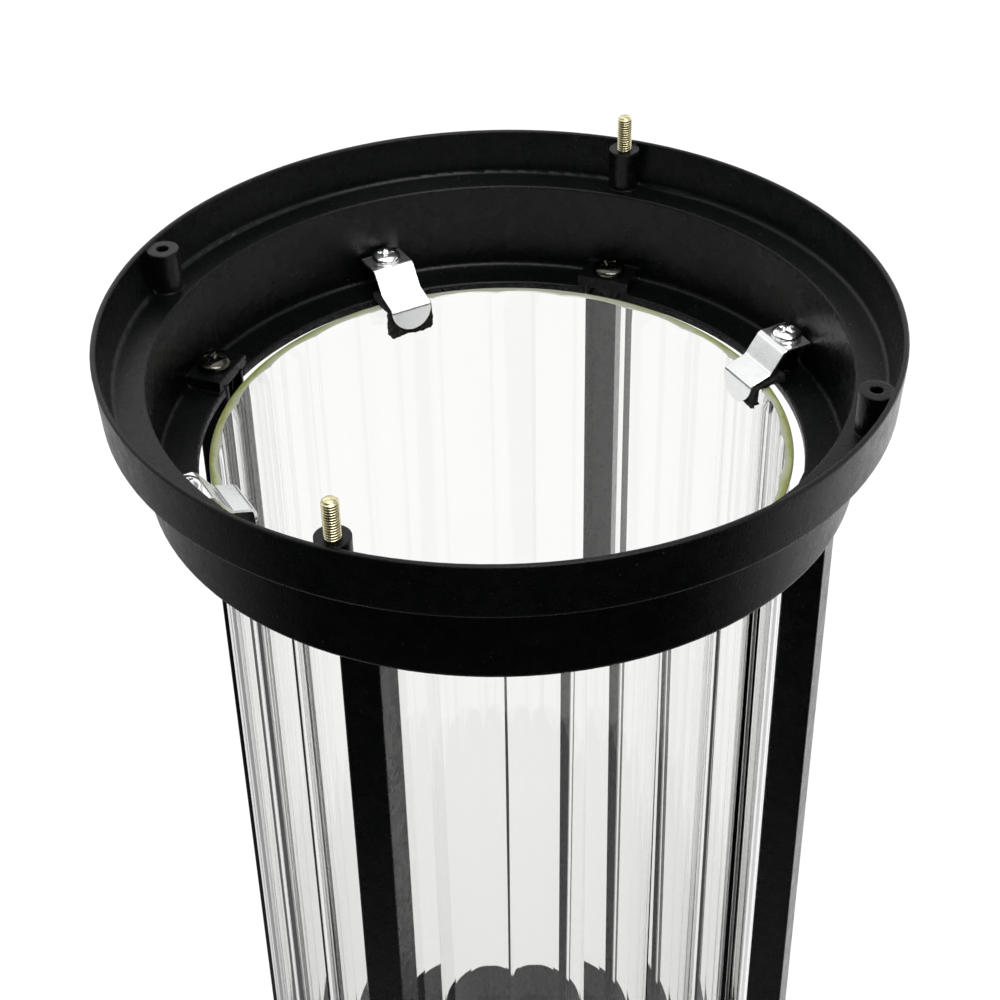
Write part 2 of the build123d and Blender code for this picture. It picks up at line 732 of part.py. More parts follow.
def earth_screw():
    """Brass screw for the earth wire, in the strap."""
    screw = pan_screw(earth_head_r, earth_head_height, earth_screw_r, crossbar_thickness)
    return Rot(-90, 0, 0) * Pos(earth_x, 0, crossbar_thickness) * screw


def lantern_pieces():
    """Every piece on the lantern, about an axis through x = y = 0."""
    pieces = {
        "top_ring": top_ring(),
        "roof_studs": roof_studs(),
        "post_top_screws": post_top_screws(),
        "post_bottom_screws": post_bottom_screws(),
        "glass_cylinder": glass_cylinder(),
        "glass_gasket": glass_gasket(),
        "clip_screws": clip_screws(),
        "base_dish": base_dish(),
        "lamp_tray": lamp_tray(),
        "tray_screws": tray_screws(),
        "lampholder_shell": lampholder_shell(),
        "lampholder_thread": lampholder_thread(),
        "lampholder_contact": lampholder_contact(),
        "lampholder_nipple": lampholder_nipple(),
        "nipple_nut": nipple_nut(),
        "arm_top_nut": arm_top_nut(),
    }
    for i, shape in enumerate(around(post(), corner_count, post_angle)):
        pieces[f"post_{i + 1}"] = shape
    for i in range(clip_count):
        pieces[f"clip_{i + 1}"] = clip(i)
        pieces[f"clip_pad_{i + 1}"] = clip_pad(i)
    return pieces


def wall_pieces():
    """Arm, wall plate and fixing, in the frame of the wall."""
    return {
        "arm_tube": arm_tube(),
        "arm_wall_nut": arm_wall_nut(),
        "wall_plate": wall_plate(),
        "wall_gasket": wall_gasket(),
        "crossbar": crossbar(),
        "plate_studs": plate_studs(),
        "cap_nuts": cap_nuts(),
        "terminal_block": terminal_block(),
        "earth_screw": earth_screw(),
    }


def main():
    os.makedirs("parts", exist_ok=True)
    for name, shape in lantern_pieces().items():
        export_step(Pos(0, reach, 0) * shape, f"parts/{name}.step")
    for name, shape in wall_pieces().items():
        export_step(shape, f"parts/{name}.step")


main()
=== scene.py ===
import json
import math

import bmesh
import bpy
import numpy as np
from mathutils import Matrix, Vector


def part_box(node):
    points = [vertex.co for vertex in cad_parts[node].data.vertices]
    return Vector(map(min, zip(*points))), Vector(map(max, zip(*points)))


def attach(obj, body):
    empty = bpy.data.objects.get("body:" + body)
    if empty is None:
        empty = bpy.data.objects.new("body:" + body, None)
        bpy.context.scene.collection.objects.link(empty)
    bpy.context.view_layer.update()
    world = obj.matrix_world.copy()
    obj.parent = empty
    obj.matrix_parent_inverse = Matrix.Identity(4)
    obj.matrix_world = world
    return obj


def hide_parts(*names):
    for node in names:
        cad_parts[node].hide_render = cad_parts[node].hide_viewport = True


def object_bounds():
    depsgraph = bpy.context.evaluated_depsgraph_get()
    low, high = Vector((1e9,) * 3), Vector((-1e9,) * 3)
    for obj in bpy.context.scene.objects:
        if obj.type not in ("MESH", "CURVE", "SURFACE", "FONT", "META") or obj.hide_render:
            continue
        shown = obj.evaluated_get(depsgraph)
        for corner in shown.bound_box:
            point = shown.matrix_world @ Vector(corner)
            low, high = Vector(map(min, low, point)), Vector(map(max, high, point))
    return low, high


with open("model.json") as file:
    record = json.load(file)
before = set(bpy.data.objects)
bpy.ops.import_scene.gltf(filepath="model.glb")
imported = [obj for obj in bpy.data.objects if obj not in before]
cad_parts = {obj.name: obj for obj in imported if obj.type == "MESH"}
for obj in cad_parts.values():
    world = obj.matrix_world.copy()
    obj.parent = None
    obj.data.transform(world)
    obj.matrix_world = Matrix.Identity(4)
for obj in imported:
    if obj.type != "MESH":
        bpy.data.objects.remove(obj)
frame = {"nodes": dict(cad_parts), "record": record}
cad_box = [list(corner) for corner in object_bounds()]
nodes = frame["nodes"]

# Sizes in millimetres, the frame itself in metres

MM = 0.001


def in_mm(metres):
    """Measure of the frame in millimetres, without the rounding noise of its meshes."""
    return round(metres / MM, 2)


ring_low, ring_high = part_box("top_ring")
glass_low, glass_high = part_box("glass_cylinder")
REACH = in_mm((ring_low.y + ring_high.y) / 2)
RIM_Z = in_mm(ring_high.z)
GLASS_Z = in_mm(glass_low.z)
GLASS_TOP = in_mm(glass_high.z)

GLASS_R = 74.9
RIDGE_R = 71.9
FLUTES = 24
FLUTE_DEG = 7.6

TAB_DROP = 28.6
TAB_Z = RIM_Z - TAB_DROP
PIVOT_R = 83.1
CLIPS = 4
CLIP_YAW = 6.0
CLIP_SHEET = 0.8
CLEARANCE = 0.05
SEAT_Z = TAB_Z - CLIP_SHEET - CLEARANCE

POSTS = 4
POST_SCREW_R = 83.2
POST_PAD_Z = RIM_Z - 34.0
STUDS = 2
STUD_CIRCLE_R = 94.7
BOSS_Z = RIM_Z - 0.6
DIAGONAL_DEG = 45.0
SHANK_R = 1.98
SHANK_OVERLAP = 0.05

# Fixed directions of the frame: the side that the photo shows, and the right of its picture

PHOTO_SIDE = math.radians(247.5)
FRONT = (math.cos(PHOTO_SIDE), math.sin(PHOTO_SIDE), 0.0)
RIGHT = (-math.sin(PHOTO_SIDE), math.cos(PHOTO_SIDE), 0.0)
SOFTBOX = (0.12, -0.66, 0.742)


# Node helpers

NOISE_SPAN = (0.3, 0.7)


def material(name):
    """New material with its node tree and principled shader."""
    mat = bpy.data.materials.new(name)
    mat.use_nodes = True
    tree = mat.node_tree
    return mat, tree, tree.nodes["Principled BSDF"]


def add(tree, kind, **values):
    """New node with some of its properties or inputs set."""
    node = tree.nodes.new(kind)
    for key, value in values.items():
        if hasattr(node, key):
            setattr(node, key, value)
        else:
            node.inputs[key.replace("_", " ")].default_value = value
    return node


def coordinates(tree):
    """Place in the piece's own space, which is the frame's space at rest."""
    return add(tree, "ShaderNodeTexCoord").outputs["Object"]


def stretched(tree, vector, scale):
    """Coordinates scaled per axis: a small scale draws a pattern out along that axis."""
    node = add(tree, "ShaderNodeMapping")
    node.inputs["Scale"].default_value = scale
    tree.links.new(vector, node.inputs["Vector"])
    return node.outputs["Vector"]


def noise(tree, vector, scale, detail=3.0, roughness=0.55):
    """Noise with its scale in waves per metre."""
    node = add(tree, "ShaderNodeTexNoise", Scale=scale, Detail=detail, Roughness=roughness)
    tree.links.new(vector, node.inputs["Vector"])
    return node.outputs["Fac"]


def remap(tree, value, source, target):
    """Value of one range laid over another, and held at its ends."""
    node = add(tree, "ShaderNodeMapRange")
    tree.links.new(value, node.inputs["Value"])
    node.inputs["From Min"].default_value = source[0]
    node.inputs["From Max"].default_value = source[1]
    node.inputs["To Min"].default_value = target[0]
    node.inputs["To Max"].default_value = target[1]
    return node.outputs["Result"]


def ramp(tree, value, stops):
    """Colour by value, from (position, colour) stops."""
    node = add(tree, "ShaderNodeValToRGB")
    tree.links.new(value, node.inputs["Fac"])
    elements = node.color_ramp.elements
    while len(elements) < len(stops):
        elements.new(0.5)
    for element, (position, color) in zip(elements, stops):
        element.position = position
        element.color = (*color, 1)
    return node.outputs["Color"]


def tinted(tree, cloud, low, high):
    """Colour that wanders between two tones with a noise."""
    return ramp(tree, cloud, [(NOISE_SPAN[0], low), (NOISE_SPAN[1], high)])


def varied(tree, cloud, low, high):
    """Number that wanders between two values with a noise."""
    return remap(tree, cloud, NOISE_SPAN, (low, high))


def spotted(tree, factor, color, spot_color):
    """Colour that gives way to another where the factor is 1."""
    node = add(tree, "ShaderNodeMix", data_type="RGBA")
    first_color, second_color, result = node.inputs[6], node.inputs[7], node.outputs[2]
    tree.links.new(factor, node.inputs["Factor"])
    tree.links.new(color, first_color)
    second_color.default_value = (*spot_color, 1)
    return result


def math_node(tree, operation, a, b):
    """Sum, product or the like of two values, each a number or a socket."""
    node = add(tree, "ShaderNodeMath", operation=operation)
    for i, value in enumerate((a, b)):
        if isinstance(value, (int, float)):
            node.inputs[i].default_value = value
        else:
            tree.links.new(value, node.inputs[i])
    return node.outputs[0]


def vector_node(tree, operation, vector, *fixed):
    """Vector maths on a linked vector and fixed ones."""
    node = add(tree, "ShaderNodeVectorMath", operation=operation)
    tree.links.new(vector, node.inputs[0])
    for i, value in enumerate(fixed):
        node.inputs[i + 1].default_value = value
    return node


def dot(tree, vector, fixed):
    """How far a vector goes along a fixed direction."""
    return vector_node(tree, "DOT_PRODUCT", vector, fixed).outputs["Value"]


def length(tree, vector):
    """Length of a vector."""
    return vector_node(tree, "LENGTH", vector).outputs["Value"]


def bump(tree, height, shader, strength, distance, under=None):
    """Bump on the shader's normal, over another normal if one is given."""
    node = add(tree, "ShaderNodeBump", Strength=strength, Distance=distance)
    tree.links.new(height, node.inputs["Height"])
    if under is not None:
        tree.links.new(under, node.inputs["Normal"])
    tree.links.new(node.outputs["Normal"], shader.inputs["Normal"])
    return node.outputs["Normal"]


# Materials

def powder_coat():
    """Black fine-textured powder coat over a casting that is slightly uneven, with a little dust."""
    mat, tree, shader = material("black_powder_coat")
    at = coordinates(tree)
    grain_scale = 2300.0
    fine = noise(tree, at, grain_scale, detail=2.0)
    coarse = noise(tree, at, grain_scale / 9, detail=2.0)
    broad = noise(tree, at, 60.0)
    black = tinted(tree, broad, (0.0016, 0.0021, 0.0023), (0.0030, 0.0036, 0.0035))
    dust = remap(tree, noise(tree, at, 1700.0, detail=0.0), (0.85, 0.9), (0, 1))
    color = spotted(tree, dust, black, (0.09, 0.09, 0.085))
    tree.links.new(color, shader.inputs["Base Color"])
    tree.links.new(varied(tree, coarse, 0.22, 0.32), shader.inputs["Roughness"])
    shader.inputs["Specular IOR Level"].default_value = 0.2
    rounded_edge = add(tree, "ShaderNodeBevel", samples=4, Radius=0.8 * MM)
    uneven = bump(tree, coarse, shader, 0.05, 0.4 * MM, rounded_edge.outputs["Normal"])
    bump(tree, fine, shader, 0.42, 0.25 * MM, uneven)
    return mat


def plated(name, color, roughness, streak=0.0, mottle=0.06):
    """Plated metal with faint mottling and, on sheet, fine streaks from rolling."""
    mat, tree, shader = material(name)
    at = coordinates(tree)
    cloud = noise(tree, at, 260.0, detail=4.0)
    low = tuple(max(0.0, c - mottle) for c in color)
    high = tuple(min(1.0, c + mottle) for c in color)
    tree.links.new(tinted(tree, cloud, low, high), shader.inputs["Base Color"])
    shader.inputs["Metallic"].default_value = 1.0
    speck = noise(tree, at, 2600.0, detail=2.0)
    rough = varied(tree, cloud, roughness * 0.8, roughness * 1.25)
    tree.links.new(rough, shader.inputs["Roughness"])
    normal = bump(tree, speck, shader, 0.08, 0.1 * MM)
    if streak:
        lines = noise(tree, stretched(tree, at, (1, 1, 0.05)), 3000.0, detail=2.0)
        bump(tree, lines, shader, streak, 0.05 * MM, normal)
    return mat


def threaded(name, color, dark, roughness):
    """Plated thread, darker down in its grooves with painted shade from an ambient-occlusion mask."""
    mat, tree, shader = material(name)
    at = coordinates(tree)
    cloud = noise(tree, at, 500.0, detail=4.0)
    # Painted shade: ambient occlusion in the grooves turns the colour towards the dark one
    groove_shade_ao = add(tree, "ShaderNodeAmbientOcclusion", samples=8, Distance=0.6 * MM)
    level = math_node(tree, "MULTIPLY", groove_shade_ao.outputs["AO"], varied(tree, cloud, 0.8, 1.1))
    tree.links.new(ramp(tree, level, [(0.4, dark), (0.85, color)]), shader.inputs["Base Color"])
    shader.inputs["Metallic"].default_value = 0.9
    rough = varied(tree, cloud, roughness * 0.8, roughness * 1.3)
    tree.links.new(rough, shader.inputs["Roughness"])
    bump(tree, noise(tree, at, 3000.0, detail=2.0), shader, 0.25, 0.1 * MM)
    return mat


def clear_glass():
    """Clear soda-lime glass with a faint yellow-green body colour, slightly wavy as drawn glass is."""
    mat, tree, shader = material("fluted_clear_glass")
    shader.inputs["Base Color"].default_value = (0.988, 0.992, 0.98, 1)
    shader.inputs["Roughness"].default_value = 0.0
    shader.inputs["IOR"].default_value = 1.52
    shader.inputs["Specular IOR Level"].default_value = 0.65
    shader.inputs["Transmission Weight"].default_value = 1.0
    drawn = stretched(tree, coordinates(tree), (1, 1, 0.03))
    bump(tree, noise(tree, drawn, 90.0, detail=1.0), shader, 0.008, 0.5 * MM)
    return mat


def glass_edge():
    """Ground end of the glass wall, with a painted tint: its colour gathers outwards and at the left
    and right, as light passing along the glass tints it.
    """
    mat, tree, shader = material("glass_edge")
    at = coordinates(tree)
    from_axis = vector_node(tree, "MULTIPLY_ADD", at, (1, 1, 0), (0, -REACH * MM, 0)).outputs["Vector"]
    # Painted tint: the yellow-green deepens towards the outer edge and at the left and right, standing
    # in for light passing lengthwise through the glass
    painted_tint_start = 72.0
    across = remap(tree, length(tree, from_axis), (painted_tint_start * MM, GLASS_R * MM), (0, 1))
    wave = varied(tree, noise(tree, at, 160.0), -0.22, 0.22)
    painted_tint_sides = math_node(tree, "ABSOLUTE", dot(tree, from_axis, RIGHT), 0.0)
    tone = math_node(tree, "MULTIPLY", math_node(tree, "ADD", across, wave),
                     remap(tree, painted_tint_sides, (20 * MM, 60 * MM), (0.1, 1)))
    color = ramp(tree, tone, [(0.1, (0.84, 0.87, 0.72)), (0.5, (0.72, 0.77, 0.42)),
                              (0.8, (0.46, 0.50, 0.12)), (1.0, (0.62, 0.66, 0.30))])
    tree.links.new(color, shader.inputs["Base Color"])
    shader.inputs["Roughness"].default_value = 0.2
    shader.inputs["IOR"].default_value = 1.5
    shader.inputs["Transmission Weight"].default_value = 0.35
    return mat


def felt():
    """Near-black needle felt with paler fibres."""
    mat, tree, shader = material("charcoal_felt")
    at = coordinates(tree)
    clumps = noise(tree, at, 700.0, detail=5.0, roughness=0.7)
    fibre = noise(tree, at, 3800.0, detail=4.0, roughness=0.7)
    both = math_node(tree, "ADD", math_node(tree, "MULTIPLY", clumps, 0.6),
                     math_node(tree, "MULTIPLY", fibre, 0.4))
    color = ramp(tree, both, [(0.38, (0.004, 0.005, 0.004)), (0.54, (0.018, 0.019, 0.017)),
                              (0.68, (0.12, 0.12, 0.11))])
    tree.links.new(color, shader.inputs["Base Color"])
    shader.inputs["Roughness"].default_value = 0.95
    shader.inputs["Specular IOR Level"].default_value = 0.15
    shader.inputs["Sheen Weight"].default_value = 0.1
    shader.inputs["Sheen Roughness"].default_value = 0.5
    bump(tree, both, shader, 0.9, 0.4 * MM)
    return mat


def moulded(name, low, high, roughness, grain=900.0, strength=0.2):
    """Moulded part with a slightly uneven surface."""
    mat, tree, shader = material(name)
    at = coordinates(tree)
    cloud = noise(tree, at, 90.0)
    grains = noise(tree, at, grain, detail=2.0)
    tree.links.new(tinted(tree, cloud, low, high), shader.inputs["Base Color"])
    rough = varied(tree, grains, roughness * 0.85, roughness * 1.15)
    tree.links.new(rough, shader.inputs["Roughness"])
    bump(tree, grains, shader, strength, 0.1 * MM)
    return mat


POWDER = powder_coat()
ZINC = plated("bright_zinc", (0.92, 0.93, 0.93), 0.24, streak=0.2, mottle=0.02)
SCREW_ZINC = plated("screw_zinc", (0.9, 0.91, 0.9), 0.13, mottle=0.03)
# The second colour is the painted shade down in the thread's grooves
YELLOW_ZINC = threaded("yellow_zinc", (0.74, 0.68, 0.42), (0.02, 0.017, 0.008), 0.22)
BLACK_ZINC = plated("black_zinc", (0.075, 0.072, 0.062), 0.1, mottle=0.02)
SHEET_ZINC = plated("sheet_zinc", (0.62, 0.63, 0.63), 0.34)
BRASS = plated("brass", (0.76, 0.58, 0.27), 0.24)
GLASS = clear_glass()
GLASS_EDGE = glass_edge()
FELT_CLOTH = felt()
RUBBER = moulded("black_rubber", (0.012, 0.012, 0.012), (0.02, 0.02, 0.02), 0.62, 1400.0, 0.3)
PHENOLIC = moulded("black_phenolic", (0.012, 0.012, 0.013), (0.022, 0.021, 0.02), 0.3, 700.0, 0.12)
NYLON = moulded("white_nylon", (0.70, 0.69, 0.64), (0.80, 0.79, 0.75), 0.42)

BY_SLOT = {
    "powder_black": POWDER, "zinc": ZINC, "yellow_zinc": YELLOW_ZINC, "black_zinc": BLACK_ZINC,
    "glass": GLASS, "felt": FELT_CLOTH, "rubber": RUBBER, "phenolic": PHENOLIC, "brass": BRASS,
    "sheet_steel": SHEET_ZINC, "terminal_plastic": NYLON,
}
SLOT_OF = {part["node"]: part["material_slot"] for part in frame["record"]["subparts"]}
for name, obj in nodes.items():
    obj.data.materials.clear()
    obj.data.materials.append(BY_SLOT[SLOT_OF[name]])


# Mesh helpers

def lantern_point(x, y, z):
    """Point about the lantern's axis in millimetres, as a point of the frame."""
    return (x * MM, (y + REACH) * MM, z * MM)


def moved(vertices, matrix):
    """Points taken through a matrix."""
    return [tuple(matrix @ Vector(v)) for v in vertices]


def placed(name, data):
    """New object with its data, linked into the scene."""
    obj = bpy.data.objects.new(name, data)
    bpy.context.scene.collection.objects.link(obj)
    return obj


def make_object(name, vertices, faces, mat, sharp_deg=40.0):
    """Smooth-shaded mesh object from points of the frame, with its sharp edges kept."""
    mesh = bpy.data.meshes.new(name)
    mesh.from_pydata(vertices, [], faces)
    mesh.validate()
    work = bmesh.new()
    work.from_mesh(mesh)
    bmesh.ops.recalc_face_normals(work, faces=work.faces)
    if work.calc_volume(signed=True) < 0:
        bmesh.ops.reverse_faces(work, faces=work.faces)
    limit = math.radians(sharp_deg)
    for edge in work.edges:
        edge.smooth = len(edge.link_faces) == 2 and edge.calc_face_angle(0) < limit
    for face in work.faces:
        face.smooth = True
    work.to_mesh(mesh)
    work.free()
    mesh.materials.append(mat)
    return placed(name, mesh)


def circle(r, z, count):
    """Loop of points round the Z axis; radius 0 gives the one point on it."""
    if r == 0:
        return [(0.0, 0.0, z)]
    turns = [2 * math.pi * i / count for i in range(count)]
    return [(r * math.cos(a), r * math.sin(a), z) for a in turns]


def stacked(loops, closed=False):
    """Vertices and faces of a skin over loops of points; a loop of one point is a pole."""
    vertices, rings = [], []
    for loop in loops:
        rings.append(range(len(vertices), len(vertices) + len(loop)))
        vertices += loop
    following = rings[1:] + rings[:1] if closed else rings[1:]
    faces = []
    for a, b in zip(rings, following):
        count = max(len(a), len(b))
        for i in range(count):
            j = (i + 1) % count
            quad = [a[i % len(a)], a[j % len(a)], b[j % len(b)], b[i % len(b)]]
            face = list(dict.fromkeys(quad))
            if len(face) > 2:
                faces.append(face)
    return vertices, faces


def capped(loops):
    """Skin over loops of points with a face over its first and its last loop."""
    vertices, faces = stacked(loops)
    faces.append(list(range(len(loops[0]))))
    faces.append(list(range(len(vertices) - len(loops[-1]), len(vertices))))
    return vertices, faces


def joined(parts):
    """One list of vertices and faces from several."""
    vertices, faces = [], []
    for more_vertices, more_faces in parts:
        start = len(vertices)
        vertices += more_vertices
        faces += [[start + i for i in face] for face in more_faces]
    return vertices, faces


def rounded_line(points, radii, steps=8):
    """Points of a line with its corners replaced by arcs."""
    out = []
    for i, p in enumerate(points):
        p = Vector(p)
        if i in (0, len(points) - 1) or radii[i] == 0:
            out.append(p)
            continue
        a = (Vector(points[i - 1]) - p).normalized()
        b = (Vector(points[i + 1]) - p).normalized()
        half = a.angle(b) / 2
        reach = radii[i] / math.tan(half)
        centre = p + (a + b).normalized() * radii[i] / math.sin(half)
        start, end = p + a * reach - centre, p + b * reach - centre
        for k in range(steps + 1):
            out.append(centre + start.lerp(end, k / steps).normalized() * radii[i])
    return out


def line_frames(points):
    """Each point of a line with its left normal and the length of line up to it."""
    frames, s = [], 0.0
    for i, p in enumerate(points):
        if i:
            s += (p - points[i - 1]).length
        d = points[min(i + 1, len(points) - 1)] - points[max(i - 1, 0)]
        d.normalize()
        frames.append((p, Vector((-d.y, d.x)), s))
    return frames


def dense(points, step):
    """Line with its long runs divided."""
    out = [points[0]]
    for a, b in zip(points, points[1:]):
        n = max(1, int((b - a).length / step))
        out += [a.lerp(b, (k + 1) / n) for k in range(n)]
    return out


# Glass

def fluted_glass():
    """Cylinder with a smooth outside and concave flutes inside that meet in sharp ridges."""
    points_per_flute, depth, cusp, cusp_power = 44, 0.8, 0.06, 20
    outer_edge, inner_edge, edge_steps = 0.6, 0.3, 8
    count = FLUTES * points_per_flute
    low, high = GLASS_Z, GLASS_TOP
    turns = [math.pi / 2 * k / edge_steps for k in range(edge_steps + 1)]
    heights = [low + (high - low) * share for share in (0.02, 0.2, 0.4, 0.6, 0.8, 0.98)]
    bend_r = GLASS_R - outer_edge
    outside = [(bend_r + outer_edge * math.sin(a), low + outer_edge * (1 - math.cos(a)))
               for a in turns]
    outside += [(GLASS_R, z) for z in heights]
    outside += [(bend_r + outer_edge * math.cos(a), high - outer_edge + outer_edge * math.sin(a))
                for a in turns]
    inside = [(RIDGE_R + inner_edge, high), (RIDGE_R, high - inner_edge)]
    inside += [(RIDGE_R, z) for z in heights[::-1]]
    inside += [(RIDGE_R, low + inner_edge), (RIDGE_R + inner_edge, low)]

    def loop_at(r, z, fluted):
        loop = []
        for i in range(count):
            across = (i % points_per_flute) / points_per_flute * 2 - 1
            hollow = depth * (1 - across ** 2) + cusp * (1 - across ** cusp_power)
            radius = r + hollow if fluted else r
            a = math.radians(FLUTE_DEG) + 2 * math.pi * i / count
            loop.append(lantern_point(radius * math.cos(a), radius * math.sin(a), z))
        return loop

    loops = [loop_at(r, z, False) for r, z in outside] + [loop_at(r, z, True) for r, z in inside]
    obj = make_object("glass_fluted", *stacked(loops, closed=True), GLASS, sharp_deg=13.0)
    obj.data.materials.append(GLASS_EDGE)
    for face in obj.data.polygons:
        if face.center.z > (high - outer_edge) * MM:
            face.material_index = 1
    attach(obj, "lantern")
    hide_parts("glass_cylinder")


fluted_glass()


# Screws and studs

def screw_head(radius, rise, cross_r, cross_w, cross_depth):
    """Domed head on z = 0 with a tapered cross recess, as a polar grid."""
    count, rings, ring_power = 144, 40, 1.15
    side, rim_edge, dome_power = rise * 0.42, 0.12, 2.6
    slot_taper, wall_run, end_run, end_power = 0.15, 0.16, 0.55, 0.6
    hub_size, hub_slope = 0.95, 1.9

    def height(x, y):
        from_middle = math.hypot(x, y)
        dome = math.sqrt(max(0.0, 1 - (from_middle / radius) ** dome_power))
        cut = 0.0
        for along, across in ((abs(x), abs(y)), (abs(y), abs(x))):
            half_slot = cross_w / 2 * (1.0 - slot_taper * along / cross_r)
            wall = min(1.0, max(0.0, (half_slot - across) / wall_run + 0.5))
            end = min(1.0, max(0.0, (cross_r - along) / (cross_r * end_run)))
            cut = max(cut, wall * end ** end_power)
        hub = max(0.0, 1 - from_middle / (cross_w * hub_size))
        cut = max(cut, min(1.0, hub * hub_slope))
        return side + (rise - side) * dome - cross_depth * cut

    loops = []
    for k in range(rings + 1):
        r = radius * (1 - (1 - k / rings) ** ring_power)
        loops.append([(x, y, height(x, y)) for x, y, _ in circle(r, 0.0, count)])
    below = ((radius, side / 2), (radius, rim_edge), (radius - rim_edge, 0.0), (0, 0.0))
    return stacked(loops + [circle(r, z, count) for r, z in below])


def thread(r, pitch, z0, z1, depth):
    """Threaded rod from z0 up to z1 with a chamfered end."""
    count, rows_per_turn = 40, 12
    flank_slope, crest_flat, chamfer_depth = 1.35, 0.1, depth * 1.2
    rows = int((z1 - z0) / pitch * rows_per_turn)
    loops = [[(0.0, 0.0, z0)]]
    for k in range(rows + 1):
        z = z0 + (z1 - z0) * k / rows
        chamfer_r = r - chamfer_depth + max(0.0, z1 - z)
        loop = []
        for i in range(count):
            a = 2 * math.pi * i / count
            tooth = abs((z / pitch - i / count) % 1.0 * 2 - 1)
            cut = depth * min(1.0, max(0.0, tooth * flank_slope - crest_flat))
            radius = min(r - cut, chamfer_r)
            loop.append((radius * math.cos(a), radius * math.sin(a), z))
        loops.append(loop)
    loops.append([(0.0, 0.0, z1)])
    return stacked(loops)


def plain_rod(r, z0, z1, count=48):
    """Plain rod from z0 up to z1."""
    profile = ((0, z0), (r, z0), (r, z1), (0, z1))
    return stacked([circle(radius, z, count) for radius, z in profile])


def set_round(part, circle_r, first_deg, count, z, first_spin):
    """Copies of a part round the lantern's axis, each turned further on its own axis."""
    spin_step = 47.0
    vertices, faces = part
    copies = []
    for i in range(count):
        angle = math.radians(first_deg + 360 * i / count)
        spin = math.radians(first_spin + spin_step * i)
        move = Matrix.Translation((circle_r * math.cos(angle), circle_r * math.sin(angle), z))
        turned = moved(vertices, move @ Matrix.Rotation(spin, 4, "Z"))
        copies.append(([lantern_point(*v) for v in turned], faces))
    return joined(copies)


clip_head = screw_head(radius=4.05, rise=2.3, cross_r=2.3, cross_w=1.05, cross_depth=1.35)
clip_screw = joined([clip_head, plain_rod(SHANK_R, z0=-9.0, z1=SHANK_OVERLAP)])
clip_screws = set_round(clip_screw, PIVOT_R, 0, CLIPS, TAB_Z + CLEARANCE, first_spin=20.0)
piece = make_object("clip_pan_screws", *clip_screws, SCREW_ZINC, sharp_deg=48)
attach(piece, "lantern")
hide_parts("clip_screws")

clip_seat = plain_rod(r=3.6, z0=-1.6, z1=0.0)
clip_seats = set_round(clip_seat, PIVOT_R, 0, CLIPS, SEAT_Z, first_spin=0.0)
piece = make_object("clip_seats", *clip_seats, POWDER)
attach(piece, "lantern")

post_head = screw_head(radius=4.6, rise=2.5, cross_r=2.6, cross_w=1.15, cross_depth=1.5)
post_screw = joined([post_head, plain_rod(SHANK_R, z0=-13.9, z1=SHANK_OVERLAP)])
post_screws = set_round(post_screw, POST_SCREW_R, DIAGONAL_DEG, POSTS, POST_PAD_Z, first_spin=8.0)
piece = make_object("post_pan_screws", *post_screws, BLACK_ZINC, sharp_deg=48)
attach(piece, "lantern")
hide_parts("post_top_screws")

stud = thread(r=2.0, pitch=0.7, z0=-12.4, z1=9.8, depth=0.46)
studs = set_round(stud, STUD_CIRCLE_R, DIAGONAL_DEG, STUDS, BOSS_Z, first_spin=0.0)
piece = make_object("roof_threaded_studs", *studs, YELLOW_ZINC, sharp_deg=70)
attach(piece, "lantern")
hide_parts("roof_studs")


# Clips and their felt: radius and height from the rim, before the clip's place and yaw

CLIP_LINE = [(87.0, -TAB_DROP), (78.5, -TAB_DROP), (74.2, -34.6), (68.0, -36.4), (67.0, -43.2)]
CLIP_RADII = [0, 1.9, 1.8, 1.9, 0]
CLIP_HALF_WIDTH = 6.1

FELT_FOLD = -37.1
FELT_INNER = 69.8
FELT_SEED = 11
FELT = [
    dict(slide=-2.2, wide=6.0, hang=4.6, thick=0.9),
    dict(slide=0.3, wide=6.75, hang=8.2, thick=0.5),
    dict(slide=-1.6, wide=6.1, hang=9.6, thick=0.4),
    dict(slide=0.4, wide=6.6, hang=8.2, thick=0.5),
]


def clip_matrix(index):
    """From a clip's own place on the X axis in millimetres to its place in the frame."""
    swivel = (Matrix.Translation((PIVOT_R, 0, 0))
              @ Matrix.Rotation(math.radians(CLIP_YAW), 4, "Z")
              @ Matrix.Translation((-PIVOT_R, 0, 0)))
    turn = Matrix.Rotation(math.radians(360 / CLIPS * index), 4, "Z")
    place = Matrix.Translation((0, REACH * MM, 0)) @ Matrix.Scale(MM, 4)
    return place @ turn @ Matrix.Translation((0, 0, RIM_Z)) @ swivel


def bent_clip(index):
    """Bent sheet with a rounded tip and softened edges."""
    least_half, edge_softening = 0.05, 0.14
    frames = line_frames(dense(rounded_line(CLIP_LINE, CLIP_RADII), step=0.5))
    total = frames[-1][2]
    loops = []
    for p, normal, s in frames:
        from_round = CLIP_HALF_WIDTH - min(CLIP_HALF_WIDTH, total - s)
        half = max(least_half, math.sqrt(CLIP_HALF_WIDTH ** 2 - from_round ** 2))
        under = p + normal * CLIP_SHEET
        corners = ((p, half), (p, -half), (under, -half), (under, half))
        loops.append([(q.x, across, q.y) for q, across in corners])
    vertices, faces = capped(loops)
    vertices = moved(vertices, clip_matrix(index))
    obj = make_object(f"sprung_clip_{index + 1}", vertices, faces, ZINC, sharp_deg=45)
    soften = obj.modifiers.new("edge", "BEVEL")
    soften.width = edge_softening * MM
    soften.segments = 2
    soften.limit_method = "ANGLE"
    soften.angle_limit = math.radians(50)
    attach(obj, f"turning_clip_{index + 1}")
    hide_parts(f"clip_{index + 1}")


